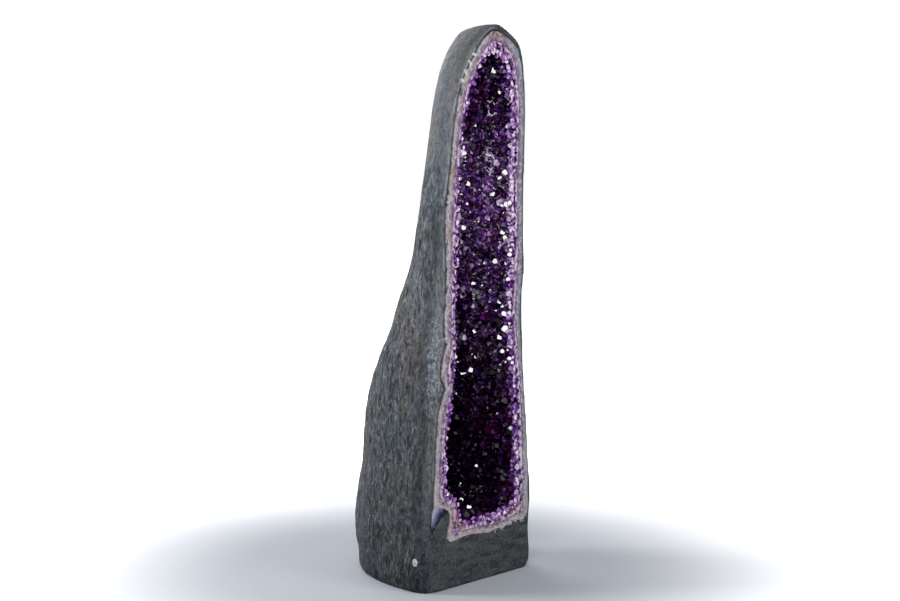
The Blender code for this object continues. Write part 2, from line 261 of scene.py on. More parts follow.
class Wiring:
    """The node tree of a material or the room, with a short call for each kind of node."""

    def __init__(self, owner: bpy.types.Material | bpy.types.World) -> None:
        """Opens the tree, with the nodes that it starts with."""
        owner.use_nodes = True
        self.owner = owner
        self.tree = owner.node_tree

    def feed(self, socket: bpy.types.NodeSocket, value: object) -> None:
        """Links a socket to another node's output, or sets its own value."""
        if isinstance(value, bpy.types.NodeSocket):
            self.tree.links.new(value, socket)
        else:
            socket.default_value = value

    def node(
        self, kind: str, inputs: dict[str | int, object], output: str | int, **settings: object
    ) -> object:
        """Adds a node.

        Args:
            kind: Its type, without the ShaderNode at the front.
            inputs: What each socket gets, another node's output or a value.
            output: The output to return.
            settings: The node's properties, by name.

        Returns:
            The output socket.
        """
        made = self.tree.nodes.new("ShaderNode" + kind)
        for key, value in settings.items():
            setattr(made, key, value)
        for key, value in inputs.items():
            self.feed(made.inputs[key], value)
        return made.outputs[output]

    def place(self, upward: float = 1) -> object:
        """Returns Object coordinates, with their height multiplied by this."""
        where = self.node("TexCoord", {}, "Object")
        return self.node("Mapping", {"Vector": where, "Scale": (1, 1, upward)}, "Vector")

    def warp(self, where: object, scale: float, amount: float) -> object:
        """Returns coordinates pushed about by soft noise."""
        cloud = self.node("TexNoise", {"Vector": where, "Scale": scale}, "Color")
        push = {0: cloud, 1: (amount, amount, amount), 2: where}
        return self.node("VectorMath", push, "Vector", operation="MULTIPLY_ADD")

    def part(self, vector: object, name: str) -> object:
        """Returns one part of a vector or a colour, X, Y or Z."""
        return self.node("SeparateXYZ", {0: vector}, name)

    def axis(self, name: str) -> object:
        """Returns one Object coordinate, X, Y or Z."""
        return self.part(self.node("TexCoord", {}, "Object"), name)

    def attribute(self, name: str) -> object:
        """Returns a number that was stored on the mesh."""
        return self.node("Attribute", {}, "Fac", attribute_name=name)

    def noise(self, where: object, scale: float, detail: float = 3, rough: float = 0.55) -> object:
        """Returns soft noise, about 0.5 on average."""
        inputs = {"Vector": where, "Scale": scale, "Detail": detail, "Roughness": rough}
        return self.node("TexNoise", inputs, "Fac")

    def patches(self, upward: float, scale: float, detail: float, rough: float, *limits: float) -> object:
        """Returns soft noise on the object, mapped between limits as span does."""
        return self.span(self.noise(self.place(upward), scale, detail, rough), *limits)

    def crests(self, where: object, scale: float, width: float) -> object:
        """Returns winding crests, 1 on each line and 0 a little way off it."""
        middle = self.maths("SUBTRACT", self.noise(where, scale, 2, 0.6), 0.5)
        return self.span(self.maths("ABSOLUTE", middle), 0.0, width, 1.0, 0.0)

    def cells(self, where: object, scale: float, feature: str = "F1", output: str = "Distance") -> object:
        """Returns a Voronoi pattern's distance or colour."""
        return self.node("TexVoronoi", {"Vector": where, "Scale": scale}, output, feature=feature)

    def maths(self, operation: str, first: object, second: object = 0.0) -> object:
        """Returns a sum or other operation on two numbers."""
        return self.node("Math", {0: first, 1: second}, 0, operation=operation)

    def times(self, *factors: object) -> object:
        """Returns the product of these numbers."""
        product = factors[0]
        for factor in factors[1:]:
            product = self.maths("MULTIPLY", product, factor)
        return product

    def span(self, value: object, low: float, high: float, start: float = 0.0, end: float = 1.0) -> object:
        """Returns value mapped smoothly from low..high to start..end."""
        inputs = {"Value": value, "From Min": low, "From Max": high, "To Min": start, "To Max": end}
        return self.node("MapRange", inputs, "Result", interpolation_type="SMOOTHSTEP")

    def straight(self, value: object, low: float, high: float, start: float, end: float) -> object:
        """Returns value mapped in a straight line from low..high to start..end."""
        inputs = {"Value": value, "From Min": low, "From Max": high, "To Min": start, "To Max": end}
        return self.node("MapRange", inputs, "Result", interpolation_type="LINEAR")

    def ramp(self, value: object, *stops: tuple[float, Colour]) -> object:
        """Returns the colour that a number from 0 to 1 picks along these stops."""
        colour = self.node("ValToRGB", {"Fac": value}, "Color")
        elements = colour.node.color_ramp.elements
        while len(elements) < len(stops):
            elements.new(0.5)
        for element, (position, tint) in zip(elements, stops):
            element.position = position
            element.color = tint
        return colour

    def mix(self, share: object, first: object, second: object, blend: str = "MIX") -> object:
        """Returns two colours mixed by a share from 0 to 1."""
        inputs = {"Fac": share, "Color1": first, "Color2": second}
        return self.node("MixRGB", inputs, "Color", blend_type=blend)

    def bump(self, height: object, distance: float, strength: float, *below: object) -> object:
        """Returns normals raised by a height, over those of another bump if given."""
        inputs = {"Height": height, "Distance": distance, "Strength": strength}
        inputs.update({"Normal": normal for normal in below})
        return self.node("Bump", inputs, "Normal")

    def finish(
        self, colour: object, roughness: object, normal: object = None, **levels: object
    ) -> bpy.types.Material:
        """Feeds the shader and returns the material.

        Args:
            colour: The base colour.
            roughness: The roughness.
            normal: The normals, if they aren't the mesh's own.
            levels: Its other sockets, with _ for a space in their names.

        Returns:
            The material.
        """
        levels |= {"Base_Color": colour, "Roughness": roughness}
        if normal is not None:
            levels["Normal"] = normal
        for key, value in levels.items():
            self.feed(self.tree.nodes["Principled BSDF"].inputs[key.replace("_", " ")], value)
        return self.owner


@dataclass(frozen=True)
class RockFinish:
    """Slate-grey basalt: streaked and pitted outside, sawn smooth and greener on the cut faces."""

    rim_width: float
    dark: Colour = srgb(34, 38, 43)
    slate: Colour = srgb(88, 96, 105)
    blue: Colour = srgb(102, 114, 130)
    brown: Colour = srgb(112, 107, 105)
    pale: Colour = srgb(166, 170, 172)
    scuff: Colour = srgb(156, 167, 180)
    foot: Colour = srgb(92, 97, 100)
    foot_dark: Colour = srgb(48, 52, 55)
    foot_light: Colour = srgb(132, 138, 140)
    crest_highlight: Colour = srgb(134, 142, 144)
    grain_upward: float = 0.40
    scuff_level: float = 0.415

    def material(self) -> bpy.types.Material:
        """Builds the basalt material."""
        w = Wiring(bpy.data.materials.new("basalt"))
        level = w.axis("Z")
        grain = w.warp(w.place(self.grain_upward), 45, 0.012)
        ridge = w.crests(grain, 95, 0.060)
        fibre = w.noise(grain, 230, 4, 0.75)
        dimple = w.cells(grain, 98, "SMOOTH_F1")
        rough_skin = w.times(w.attribute("weathered"), w.span(level, 0.62, 0.86, 1.0, 0.25))
        tint = self.skin_colour(w, ridge, fibre, rough_skin)
        # Painted shade: the skin is darkened in the dimples that the bump sinks in.
        dimple_shade = w.times(w.span(dimple, 0.40, 0.16, 0, 0.72), rough_skin)
        tint = w.mix(dimple_shade, tint, self.dark)
        # Painted shade: darker inside the pits of the displaced skin.
        tint = w.mix(w.times(w.attribute("pit"), 0.5), tint, self.dark)
        # Painted shade: the side darkened beside the cut face's left edge.
        tint = w.mix(self.edge_shade(w, level), tint, self.dark)
        sawn = w.mix(w.patches(3.5, 26, 5, 0.75, 0.37, 0.63), self.foot_dark, self.foot)
        sawn = w.mix(w.patches(1, 190, 4, 0.8, 0.50, 0.64, 0, 0.7), sawn, self.foot_light)
        colour = w.mix(w.attribute("sawn"), tint, sawn)
        # Painted shade: the rock darkened towards the bottom and towards the top.
        colour = w.mix(w.span(level, 0.48, 0.02, 0, 0.46), colour, self.dark)
        colour = w.mix(w.span(level, 0.78, 0.97, 0, 0.56), colour, self.dark)
        colour = w.mix(self.shaded_side(w, level), colour, self.dark)
        # Painted light: the lower rock paler towards the back.
        lit_back = w.times(w.span(w.axis("Y"), 0.0, 0.12, 0, 0.16), w.span(level, 0.55, 0.42))
        colour = w.mix(w.times(lit_back, w.attribute("weathered")), colour, self.pale)
        colour = w.mix(self.scuffs(w, level), colour, self.scuff)
        # Painted highlight: a paler line along the crest beside the rim.
        colour = w.mix(self.edge_line(w, level), colour, self.crest_highlight)
        beside = w.span(w.attribute("seam"), 4.5 * MM, 2 * MM)
        gap = w.times(beside, w.span(level, 0.15, 0.22, 0, 0.65))
        colour = w.mix(gap, colour, self.foot_dark)
        dust = w.noise(w.place(), 420, 3, 0.8)
        normal = w.bump(dust, 0.5 * MM, 0.6)
        normal = w.bump(w.times(fibre, rough_skin), 3.0 * MM, 1.0, normal)
        crag = w.maths("ADD", w.times(ridge, 0.7), w.span(dimple, 0.05, 0.5, 0, 1.0))
        normal = w.bump(w.times(crag, rough_skin), 3.2 * MM, 1.0, normal)
        roughness = w.patches(1, 60, 3, 0.55, 0.3, 0.7, 0.42, 0.60)
        return w.finish(colour, roughness, normal, Specular_IOR_Level=0.22)

    def skin_colour(self, w: Wiring, ridge: object, fibre: object, rough_skin: object) -> object:
        """Returns the weathered skin's slate, blue and brown tints, paler along its crests as a painted
        highlight.
        """
        broad = w.noise(w.place(0.5), 13, 3, 0.5)
        patch = w.noise(w.place(0.6), 17, 3, 0.6)
        gloom = w.noise(w.place(0.5), 30, 3, 0.6)
        tint = w.mix(w.span(broad, 0.42, 0.62, 0, 0.75), self.slate, self.brown)
        tint = w.mix(w.span(patch, 0.46, 0.66, 0, 0.75), tint, self.blue)
        tint = w.mix(w.times(w.span(gloom, 0.50, 0.34, 0, 0.6), rough_skin), tint, self.dark)
        tint = w.mix(w.span(fibre, 0.50, 0.38, 0, 0.66), tint, self.dark)
        # Painted highlight: paler along the raised crests of the bump.
        crest = w.times(ridge, w.span(fibre, 0.42, 0.58), rough_skin)
        tint = w.mix(w.times(crest, 0.72), tint, self.pale)
        lit_fibre = w.times(w.span(fibre, 0.52, 0.64), w.span(w.axis("Z"), 0.42, 0.12, 0.55, 0.95))
        return w.mix(w.times(lit_fibre, rough_skin), tint, self.pale)

    def shaded_side(self, w: Wiring, level: object) -> object:
        """Returns the darker stretch of the bulging lower rock, towards the cut face."""
        forward = w.span(w.axis("Y"), 0.06, -0.06, 0, 0.22)
        return w.times(forward, w.span(level, 0.50, 0.40), w.attribute("weathered"))

    def edge_shade(self, w: Wiring, level: object) -> object:
        """Returns painted shade: a smooth dark strip of the rock's side beside the cut face's left edge."""
        near = w.times(w.span(w.attribute("arris"), 52 * MM, 22 * MM), w.attribute("weathered"))
        ragged = w.patches(0.3, 40, 3, 0.55, 0.35, 0.6, 0.35, 0.75)
        return w.times(near, ragged, w.span(level, 0.86, 0.66))

    def scuffs(self, w: Wiring, level: object) -> object:
        """Returns the bluish rubbed marks around the knuckles of rock on the front left edge."""
        near = w.span(w.attribute("arris"), 46 * MM, 10 * MM)
        height = w.maths("ABSOLUTE", w.maths("SUBTRACT", level, self.scuff_level))
        zone = w.times(near, w.span(height, 0.13, 0.035, 0.10, 1.0))
        torn = w.patches(0.6, 150, 5, 0.85, 0.47, 0.60, 0.02, 0.85)
        left = w.times(w.span(w.attribute("sawn"), 0.6, 0.1), w.span(w.axis("X"), 0.0, -0.05))
        return w.times(zone, torn, left)

    def edge_line(self, w: Wiring, level: object) -> object:
        """Returns the painted highlight: a lighter ragged line along the crest between the rim and the rock's
        side.
        """
        crest_highlight = w.patches(0.5, 75, 4, 0.7, 0.42, 0.58, 0.05, 0.75)
        away = w.maths("ABSOLUTE", w.maths("SUBTRACT", w.attribute("seam"), self.rim_width + 1.0 * MM))
        crest = w.times(w.span(away, 2.2 * MM, 0.5 * MM), w.attribute("rim"))
        return w.times(crest, crest_highlight, w.span(level, 0.16, 0.24))


@dataclass(frozen=True)
class AgateFinish:
    """Pale sugary agate, iron-stained at the crown and along the foot, bluer on the right."""

    white: Colour = srgb(190, 183, 187)
    grey: Colour = srgb(137, 131, 142)
    pink: Colour = srgb(137, 110, 140)
    tan: Colour = srgb(149, 131, 121)
    blue: Colour = srgb(110, 120, 147)
    rust: Colour = srgb(111, 50, 31)
    ochre: Colour = srgb(179, 139, 101)
    seam: Colour = srgb(89, 85, 89)
    speck: Colour = srgb(94, 62, 96)

    def material(self) -> bpy.types.Material:
        """Builds the agate material."""
        w = Wiring(bpy.data.materials.new("agate"))
        level = w.axis("Z")
        across = w.attribute("across")
        sway = w.patches(0.6, 110, 4, 0.7, 0.25, 0.75, -0.42, 0.42)
        wave = w.maths("ADD", across, sway)
        bands = ((0.0, self.seam), (0.08, self.grey), (0.30, self.white), (0.52, self.grey))
        tone = w.ramp(wave, *bands, (0.76, self.pink), (1.0, self.speck))
        blotch = w.noise(w.place(0.6), 45, 4, 0.7)
        tone = w.mix(w.span(blotch, 0.48, 0.66, 0, 0.8), tone, self.tan)
        right = w.times(w.span(w.axis("X"), 0.02, 0.10, 0, 0.85), w.span(across, 0.75, 0.2))
        tone = w.mix(right, tone, self.blue)
        stain = w.patches(1, 40, 3, 0.6, 0.42, 0.56)
        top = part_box("agate_band")[1].z
        tone = w.mix(w.times(w.span(level, top - 16 * MM, top - 4 * MM), stain), tone, self.rust)
        pale = w.times(w.span(level, 0.36, 0.14, 0, 0.55), w.span(across, 1.0, 0.4))
        tone = w.mix(pale, tone, self.white)
        patchy = w.patches(1, 75, 4, 0.7, 0.48, 0.62)
        tone = w.mix(w.times(w.span(level, 0.150, 0.115, 0, 0.5), patchy), tone, self.ochre)
        sugar = w.cells(w.place(), 210, "F1", "Color")
        tone = w.mix(w.span(w.part(sugar, "X"), 0.55, 1.0, 0, 0.75), tone, self.white)
        inner = w.span(across, 0.25, 0.8, 0.25, 0.85)
        tone = w.mix(w.times(w.span(w.part(sugar, "Y"), 0.55, 0.9), inner), tone, self.speck)
        normal = w.bump(w.part(sugar, "X"), 1.0 * MM, 0.6)
        normal = w.bump(w.noise(w.place(), 300, 3, 0.7), 1.5 * MM, 0.8, normal)
        roughness = w.span(w.part(sugar, "Y"), 0, 1, 0.25, 0.5)
        return w.finish(tone, roughness, normal, Specular_IOR_Level=0.35)


@dataclass(frozen=True)
class BedFinish:
    """The sawn roots of the crystals: a sugary mosaic from white at the agate to purple inside."""

    white: Colour = srgb(210, 194, 212)
    lilac: Colour = srgb(156, 126, 168)
    violet: Colour = srgb(112, 76, 128)
    purple: Colour = srgb(66, 34, 84)
    night: Colour = srgb(24, 8, 38)
    ochre: Colour = srgb(206, 166, 122)

    def material(self) -> bpy.types.Material:
        """Builds the bed material."""
        w = Wiring(bpy.data.materials.new("amethyst_bed"))
        mosaic = w.cells(w.place(0.8), 215, "F1", "Color")
        grain = w.maths("SUBTRACT", w.part(mosaic, "X"), 0.5)
        depth = w.attribute("across")
        shade = w.maths("ADD", w.times(depth, 0.62), w.times(grain, 1.05))
        shade = w.maths("ADD", shade, w.patches(1, 60, 3, 0.55, 0.25, 0.75, -0.08, 0.38))
        pale = ((0.0, self.white), (0.3, self.lilac), (0.62, self.violet))
        tone = w.ramp(shade, *pale, (0.9, self.purple), (1.0, self.night))
        stain = w.patches(1, 40, 3, 0.55, 0.5, 0.65)
        tone = w.mix(w.times(w.span(w.axis("Z"), 0.165, 0.13, 0, 0.55), stain), tone, self.ochre)
        normal = w.bump(w.part(mosaic, "Y"), 1.6 * MM, 0.9)
        return w.finish(tone, 0.22, normal, Specular_IOR_Level=0.5)


@dataclass(frozen=True)
class CrystalFinish:
    """Glassy amethyst, white at the root and near black in the depths, each facet with its own shade; the
    depths' darkness and a darkening towards each crystal's foot are painted shade.
    """

    name: str = "amethyst"
    specular: float = 0.62
    roughness: float = 0.05
    night: Colour = srgb(10, 3, 18)
    deep: Colour = srgb(40, 12, 58)
    purple: Colour = srgb(92, 38, 124)
    violet: Colour = srgb(148, 98, 174)
    lilac: Colour = srgb(196, 162, 208)
    white: Colour = srgb(236, 226, 236)
    wine: Colour = srgb(66, 8, 40)
    base_shade: float = 0.20
    cloud: float = 0.22

    def material(self) -> bpy.types.Material:
        """Builds the crystal material."""
        w = Wiring(bpy.data.materials.new(self.name))
        shade = w.maths("ADD", w.attribute("shade"), self.base_shade)
        inner = w.noise(w.place(), 150, 3, 0.65)
        shade = w.maths("ADD", shade, w.span(inner, 0.30, 0.70, -self.cloud, self.cloud))
        # Painted shade: darker towards each crystal's foot, in the crevices between crystals.
        shade = w.maths("ADD", shade, w.span(w.attribute("height"), 0.50, 0.95, -0.20, 0.06))
        dim = ((0.0, self.night), (0.22, self.deep), (0.45, self.purple))
        tone = w.ramp(shade, *dim, (0.66, self.violet), (0.84, self.lilac), (1.0, self.white))
        warm = w.patches(1, 30, 2, 0.55, 0.5, 0.7, 0, 0.45)
        tone = w.mix(warm, tone, w.mix(1.0, tone, self.wine, "ADD"))
        normal = w.bump(w.noise(w.place(), 700, 2), 0.05 * MM, 0.25)
        return w.finish(tone, self.roughness, normal, IOR=1.7, Specular_IOR_Level=self.specular)


@dataclass(frozen=True)
class ChalcedonyFinish:
    """Blue-grey chalcedony, lilac where it is thick and inky along its lower edge."""

    lilac: Colour = srgb(172, 170, 192)
    blue: Colour = srgb(106, 113, 148)
    ink: Colour = srgb(30, 34, 46)
    uphill: tuple[float, float, float] = (-0.73, 0.0, 0.69)

    def material(self) -> bpy.types.Material:
        """Builds the chalcedony material."""
        w = Wiring(bpy.data.materials.new("blue_chalcedony"))
        low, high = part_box("chalcedony_fold")
        tongue = Vector((low.x, 0, low.z)).dot(Vector(self.uphill))
        corner = Vector((low.x, 0, high.z)).dot(Vector(self.uphill))
        along = w.node("VectorMath", {0: w.place(), 1: self.uphill}, "Value", operation="DOT_PRODUCT")
        rise = w.span(along, tongue, corner)
        wave = w.maths("ADD", rise, w.patches(1, 90, 3, 0.55, 0.2, 0.8, -0.12, 0.12))
        tone = w.ramp(wave, (0.05, self.ink), (0.35, self.blue), (0.75, self.lilac))
        normal = w.bump(w.noise(w.place(), 300, 2), 0.2 * MM, 0.3)
        return w.finish(tone, 0.25, normal, Specular_IOR_Level=0.5)


@dataclass(frozen=True)
class QuartzFinish:
    """Milky quartz with a grey, sugary grain."""

    white: Colour = srgb(226, 228, 226)
    grey: Colour = srgb(136, 140, 136)

    def material(self) -> bpy.types.Material:
        """Builds the quartz material."""
        w = Wiring(bpy.data.materials.new("quartz"))
        tone = w.ramp(w.noise(w.place(), 420, 3, 0.7), (0.38, self.grey), (0.6, self.white))
        normal = w.bump(w.noise(w.place(), 700, 2), 0.4 * MM, 0.6)
        return w.finish(tone, 0.3, normal, Specular_IOR_Level=0.5)


@dataclass
class Rock:
    """The basalt body, with the skin that weathering gave it and its sawn faces."""

    voxel: float = 3.7 * MM
    smoothing: int = 3
    swell: float = 2.6 * MM
    ripple: float = 1.7 * MM
    pit_depth: float = 2.6 * MM
    snap: float = 1.2 * MM
    reach: float = 60 * MM
    rim_width: float = 4 * MM
    rim_fall: float = 0.35
    rim_round: float = 18 * MM
    rim_side: float = 0.03
    rounding: int = 18
    knuckles: tuple[tuple[float, float, float], ...] = (
        (0.357, 11 * MM, 7.0 * MM),
        (0.430, 12 * MM, 8.0 * MM),
    )

    def build(self) -> bpy.types.Object:
        """Builds the rock's fine skin and dresses it.

        Returns:
            The piece that stands for the basalt shell.
        """
        rock = copy_node("basalt_shell", "weathered_basalt")
        arris = self.edge_points(rock.data)
        apply_modifier(rock, "REMESH", mode="VOXEL", voxel_size=self.voxel)
        apply_modifier(rock, "SMOOTH", factor=0.5, iterations=self.smoothing)
        self.weather(rock, arris)
        activate(rock)
        bpy.ops.object.shade_smooth_by_angle(angle=math.radians(50))
        rock.data.materials.append(RockFinish(self.rim_width).material())
        place(rock, ["basalt_shell"])
        return rock

    def edge_points(self, mesh: bpy.types.Mesh) -> KDTree:
        """Finds the outer edge of the cut face.

        Args:
            mesh: The merged copy of the shell.

        Returns:
            A search tree of points along that edge, 2 mm apart.
        """
        work = bmesh.new()
        work.from_mesh(mesh)
        mouth = skin_tree(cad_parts["agate_band"])
        spots: list[Vector] = []
        for edge in work.edges:
            if len(edge.link_faces) != 2:
                continue
            flat = [
                face.normal.y < -0.999 and face.calc_center_median().y < FACE_Y + MM
                for face in edge.link_faces
            ]
            middle = (edge.verts[0].co + edge.verts[1].co) / 2
            if flat[0] == flat[1] or mouth.find_nearest(middle)[3] < 2 * MM:
                continue
            steps = max(1, int(edge.calc_length() / (2 * MM)))
            spots += [edge.verts[0].co.lerp(edge.verts[1].co, step / steps) for step in range(steps + 1)]
        work.free()
        tree = KDTree(len(spots))
        for index, spot in enumerate(spots):
            tree.insert(spot, index)
        tree.balance()
        return tree

    def weather(self, rock: bpy.types.Object, arris: KDTree) -> None:
        """Moves the skin in and out as weathering did, and stores what the finish reads.

        Args:
            rock: The fine mesh.
            arris: Points along the cut face's outer edge.
        """
        mesh = rock.data
        points, normals = points_of(mesh), normals_of(mesh)
        seam = distances(points, "agate_band", self.reach)
        edge = np.array([arris.find(point)[2] for point in points])
        on_face = (points[:, 1] < FACE_Y + self.snap) & (normals[:, 1] < -0.9)
        on_base = (points[:, 2] < self.snap) & (normals[:, 2] < -0.9)
        points[on_face, 1] = FACE_Y
        points[on_base, 2] = 0
        front, level = points[:, 1] - FACE_Y, points[:, 2]
        calm = ease(edge, 3 * MM, 24 * MM)
        rightward = ease(points[:, 0], self.rim_side - 12 * MM, self.rim_side + 12 * MM)
        rim = ease(level, 0.13, 0.20) * (1 - rightward)
        over = np.maximum(seam - self.rim_width, 0)
        fall = np.minimum(over * self.rim_fall + over**2 / (2 * self.rim_round), 11 * MM)
        points[:, 1] += fall * rim * (1 - ease(front, 4 * MM, 14 * MM))
        move_points(mesh, points)
        self.round_off(rock, rim * ease(over, 0, 3 * MM) * (1 - ease(edge, 8 * MM, 22 * MM)))
        points, normals = points_of(mesh), normals_of(mesh)
        skin = np.maximum(ease(front, 1.5 * MM, 7 * MM), rim * ease(over, 0, 5 * MM))
        skin *= ease(level, 1 * MM, 7 * MM) * ease(seam, 2.5 * MM, 6 * MM)
        rugged = (1 - 0.72 * ease(level, 0.62, 0.84)) * (0.25 + 0.75 * calm)
        shift, pits = np.zeros(len(points)), np.zeros(len(points))
        for index in np.flatnonzero(skin > 0.01):
            shift[index], pits[index] = self.relief(points[index], rugged[index])
        shift += self.knuckle_rise(points, arris)
        points += normals * (shift * skin)[:, None]
        points[:, 1] = np.maximum(points[:, 1], FACE_Y)
        points[:, 2] = np.maximum(points[:, 2], 0)
        move_points(mesh, points)
        shoulder = rim * ease(over, 0, 2.5 * MM)
        outside = np.maximum(ease(front, 2 * MM, 5 * MM), shoulder)
        store(mesh, "weathered", outside * (0.35 + 0.65 * calm))
        store(mesh, "sawn", (1 - ease(front, 0.6 * MM, 3.5 * MM)) * (1 - shoulder))
        store(mesh, "pit", pits * skin)
        store(mesh, "arris", edge)
        store(mesh, "rim", rim * (1 - ease(front, 5 * MM, 10 * MM)))
        store(mesh, "seam", seam)

    def round_off(self, rock: bpy.types.Object, share: np.ndarray) -> None:
        """Rounds the corner between the rim and the rock's side.

        Args:
            rock: The fine mesh.
            share: How far each point joins in, 0 to 1.
        """
        group = rock.vertex_groups.new(name="corner")
        for index in np.flatnonzero(share > 0.01):
            group.add([int(index)], float(share[index]), "REPLACE")
        apply_modifier(rock, "SMOOTH", factor=0.5, iterations=self.rounding, vertex_group="corner")
        rock.vertex_groups.clear()

    def relief(self, point: np.ndarray, rugged: float) -> tuple[float, float]:
        """Works out how far one spot of the skin stands out.

        Args:
            point: The spot.
            rugged: How rough the skin is there, 0 to 1.

        Returns:
            The shift along the normal, and the depth of any pit from 0 to 1.
        """
        x, y, z = point
        swell = noise.noise(Vector((x, y, z * 0.6)) * 23) * self.swell * (0.3 + 0.7 * rugged)
        ripple = noise.fractal(Vector((x, y, z * 0.36)) * 56, 1.0, 2.1, 3) * self.ripple
        near, spots = noise.voronoi(Vector((x, y, z * 0.42)) * 62)
        size = 0.24 + 0.26 * abs(noise.cell(spots[0] * 9.7))
        pit = max(0.0, 1 - (near[0] / size) ** 2) * min(1.0, 0.35 + abs(noise.cell(spots[0] * 5.3)))
        return swell + (ripple - pit * self.pit_depth) * rugged, pit * rugged

    def knuckle_rise(self, points: np.ndarray, arris: KDTree) -> np.ndarray:
        """Raises the two knuckles of rock beside the front left edge.

        Args:
            points: The skin's points.
            arris: Points along the cut face's outer edge.

        Returns:
            The rise at each point.
        """
        rise = np.zeros(len(points))
        for level, spread, height in self.knuckles:
            seat = np.array(arris.find(Vector((-0.2, FACE_Y, level)))[0]) + (0, spread, 0)
            away = np.linalg.norm((points - seat) / (1, 1, 1.5), axis=1)
            rise += height * np.exp(-((away / spread) ** 2))
        return rise


@dataclass
class Lining:
    """The agate band on the rock and the bed of crystal roots on the agate."""

    bed_lump: float = 3.2 * MM
    agate_steps: int = 2
    bed_steps: int = 2

    def build_agate(self) -> None:
        """Builds the agate band."""
        band = copy_node("agate_band", "banded_agate")
        split_edges(band, self.agate_steps)
        points = points_of(band.data)
        rock = distances(points, "basalt_shell")
        bed = distances(points, "amethyst_druse")
        store(band.data, "across", rock / (rock + bed))
        band.data.materials.append(AgateFinish().material())
        place(band, ["agate_band"])

    def build_bed(self) -> bpy.types.Object:
        """Builds the bed, lumpy on the side where the crystals grow.

        Returns:
            The piece that stands for the druse.
        """
        bed = copy_node("amethyst_druse", "amethyst_root_bed")
        split_edges(bed, self.bed_steps)
        points, normals = points_of(bed.data), normals_of(bed.data)
        agate = distances(points, "agate_band")
        inner = ease(agate, 8 * MM, 10.5 * MM) * ease(points[:, 1] - FACE_Y, 1 * MM, 12 * MM)
        for index in np.flatnonzero(inner > 0.01):
            lump = noise.fractal(Vector(points[index]) * 24, 1.0, 2.0, 2) * self.bed_lump
            points[index] += normals[index] * lump * inner[index]
        move_points(bed.data, points)
        store(bed.data, "across", np.clip(agate / (11 * MM), 0, 1))
        bed.data.materials.append(BedFinish().material())
        place(bed, ["amethyst_druse"])
        return bed


@dataclass
class Prototype:
    """One crystal at unit radius, with its apex at the origin and its axis along +Z."""

    points: np.ndarray
    faces: list[tuple[int, ...]]
    height: np.ndarray


@dataclass
class Seat:
    """Where one crystal grows, how big it is and which way it points."""

    at: Vector
    normal: Vector
    radius: float
    grade: Grade


